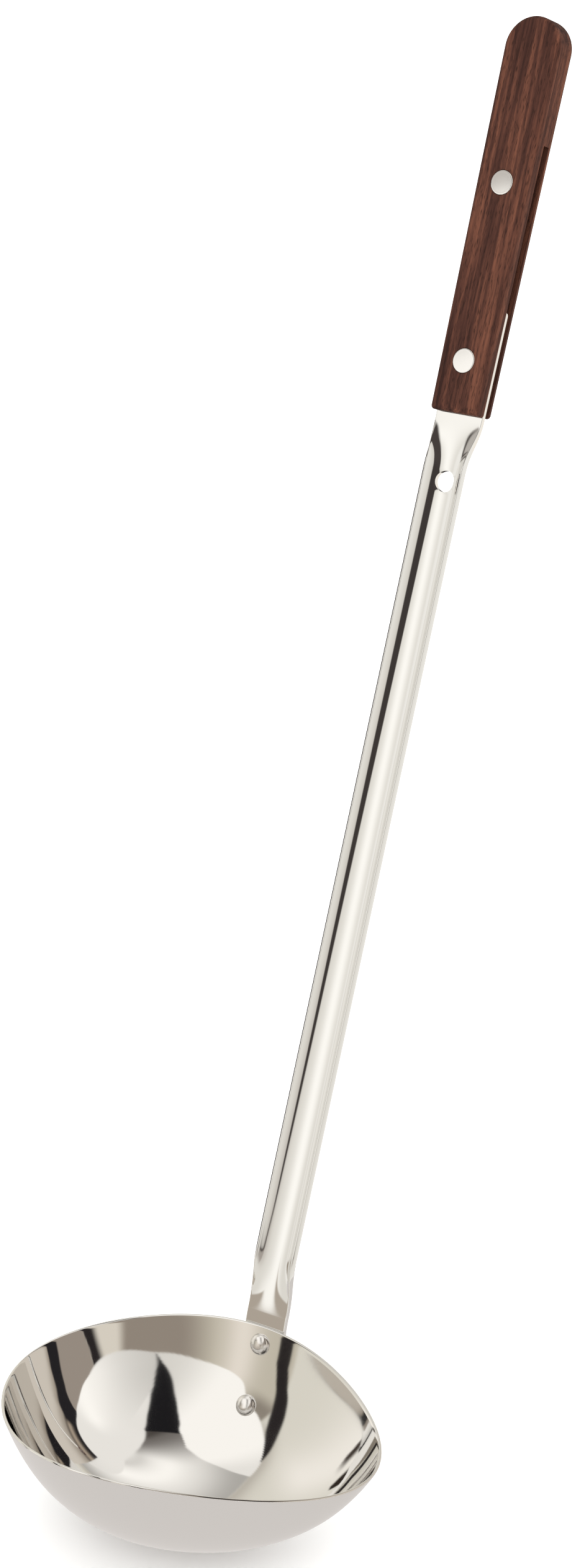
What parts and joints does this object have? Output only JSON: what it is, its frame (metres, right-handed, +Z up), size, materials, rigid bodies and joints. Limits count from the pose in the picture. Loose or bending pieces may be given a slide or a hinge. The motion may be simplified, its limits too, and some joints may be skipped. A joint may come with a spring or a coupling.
{
  "type": "serving ladle",
  "caption": "Stainless serving ladle with a two-lipped oval bowl, a pressed channel shaft with a hang hole, and a riveted dark wood grip, for dipping and pouring.",
  "frame": {"origin": "centre of the hang hole, in the middle of the shaft's sheet", "axes": "+Z up, square to the level of the bowl's rim; +Y to the back, the way the handle leans; +X to the bowl's right lip seen from the front"},
  "size_m": [0.124, 0.2536, 0.4009],
  "materials": {
    "polished_stainless": "buffed to a mirror",
    "dark_hardwood": "sanded and oiled, straight grain along the grip",
    "rivet_stainless": "ground flush and lightly polished"
  },
  "bodies": {
    "root": {"bowl": "polished_stainless", "handle_shaft": "polished_stainless", "wooden_grip": "dark_hardwood", "lower_grip_rivet_tube": "rivet_stainless", "lower_grip_rivet_pin": "rivet_stainless", "upper_grip_rivet_tube": "rivet_stainless", "upper_grip_rivet_pin": "rivet_stainless", "upper_bowl_rivet": "rivet_stainless", "lower_bowl_rivet": "rivet_stainless"}
  },
  "joints": []
}
